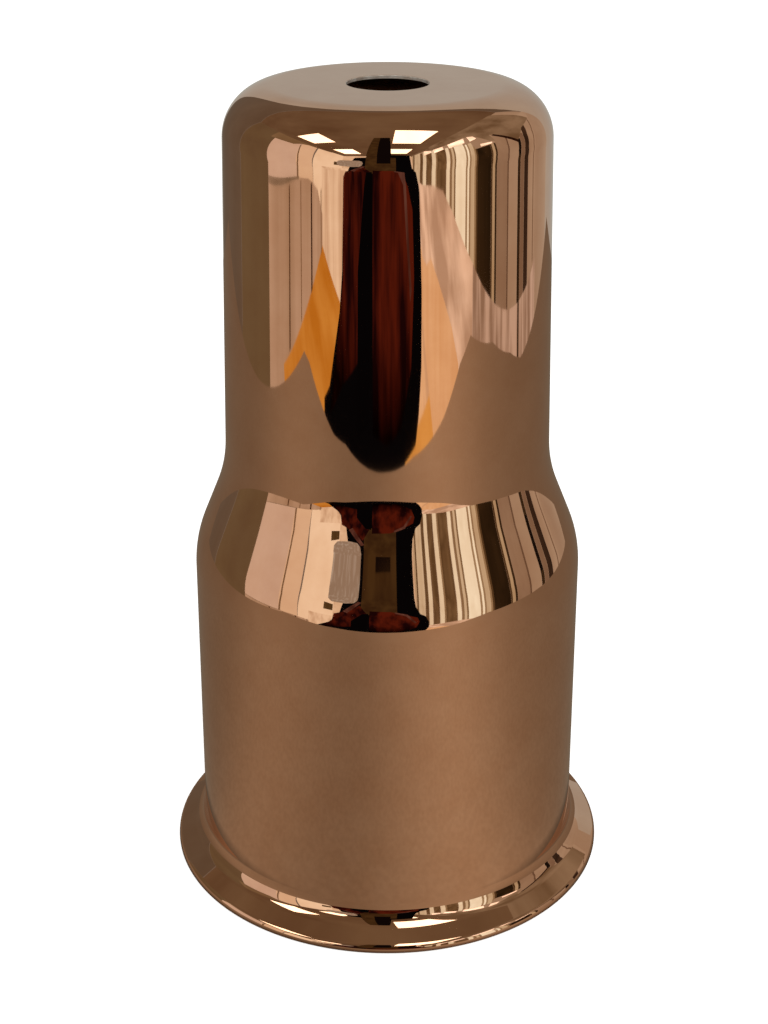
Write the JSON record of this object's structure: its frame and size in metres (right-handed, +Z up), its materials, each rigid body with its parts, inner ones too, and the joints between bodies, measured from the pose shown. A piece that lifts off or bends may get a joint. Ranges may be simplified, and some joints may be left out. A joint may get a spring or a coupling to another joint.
{
  "type": "lampholder cover with lampholder",
  "caption": "Polished copper-plated lampholder cover with a stepped body, flared rolled rim and top nipple hole, over the E27 screw lampholder it houses.",
  "frame": {"origin": "on the common axis of cover and lampholder, in the plane that both rims stand on", "axes": "+Z up along the common axis, from the open mouth towards the closed top with the nipple hole; -Y is the side of the locking screw; +X is the side of the live terminal"},
  "size_m": [0.0616, 0.0616, 0.1088],
  "materials": {
    "copper_plate": "mirror-polished copper plating on drawn sheet metal",
    "black_phenolic": "moulded black phenolic, semi-gloss",
    "white_insulator": "off-white steatite-like insulator, fine grain",
    "brass": "machined and stamped brass",
    "nickel_brass": "nickel-plated rolled brass sheet",
    "steel": "zinc-plated steel"
  },
  "bodies": {
    "lampholder": {"skirt": "black_phenolic", "contact_block": "white_insulator", "screw_shell": "nickel_brass", "shell_rivets": "brass", "contact_spring": "steel", "live_strip": "brass", "live_terminal": "brass", "neutral_terminal": "brass", "live_rivet": "brass", "neutral_rivet": "brass"},
    "cover": {"cover": "copper_plate"},
    "cap": {"cap": "black_phenolic", "entry_bush": "brass"},
    "locking_screw": {"locking_screw": "steel"},
    "centre_contact": {"centre_contact": "brass", "contact_clip": "steel"},
    "live_clamp_plate": {"live_clamp_plate": "steel"},
    "live_screw": {"live_screw": "steel"},
    "neutral_clamp_plate": {"neutral_clamp_plate": "steel"},
    "neutral_screw": {"neutral_screw": "steel"}
  },
  "joints": [
    {"name": "cover_lift", "type": "slide", "parent": "lampholder", "child": "cover", "axis": [0, 0, 1], "range_m": [0, 0.06]},
    {"name": "cap_pull", "type": "slide", "parent": "lampholder", "child": "cap", "axis": [0, 0, 1], "range_m": [0, 0.012]},
    {"name": "locking_screw_travel", "type": "slide", "parent": "cap", "child": "locking_screw", "axis": [0, -1, 0], "range_m": [-0.0005, 0.0025]},
    {"name": "contact_press", "type": "slide", "parent": "lampholder", "child": "centre_contact", "axis": [0, 0, 1], "range_m": [0, 0.0018], "stiffness_N_per_m": 2500, "springref_m": -0.0012, "deforming": ["contact_spring"]},
    {"name": "live_plate_slide", "type": "slide", "parent": "lampholder", "child": "live_clamp_plate", "axis": [0, 0, 1], "range_m": [0, 0.002]},
    {"name": "live_screw_turn", "type": "hinge", "parent": "live_clamp_plate", "child": "live_screw", "pos_m": [0.01, 0, 0.04], "axis": [0, 0, 1], "range_deg": [0, 1441]},
    {"name": "neutral_plate_slide", "type": "slide", "parent": "lampholder", "child": "neutral_clamp_plate", "axis": [0, 0, 1], "range_m": [0, 0.002]},
    {"name": "neutral_screw_turn", "type": "hinge", "parent": "neutral_clamp_plate", "child": "neutral_screw", "pos_m": [-0.01, 0, 0.04], "axis": [0, 0, 1], "range_deg": [0, 1441]}
  ],
  "couplings": [
    {"joint": "live_screw_turn", "follows": "live_plate_slide", "rad_per_m": 12566},
    {"joint": "neutral_screw_turn", "follows": "neutral_plate_slide", "rad_per_m": 12566}
  ]
}
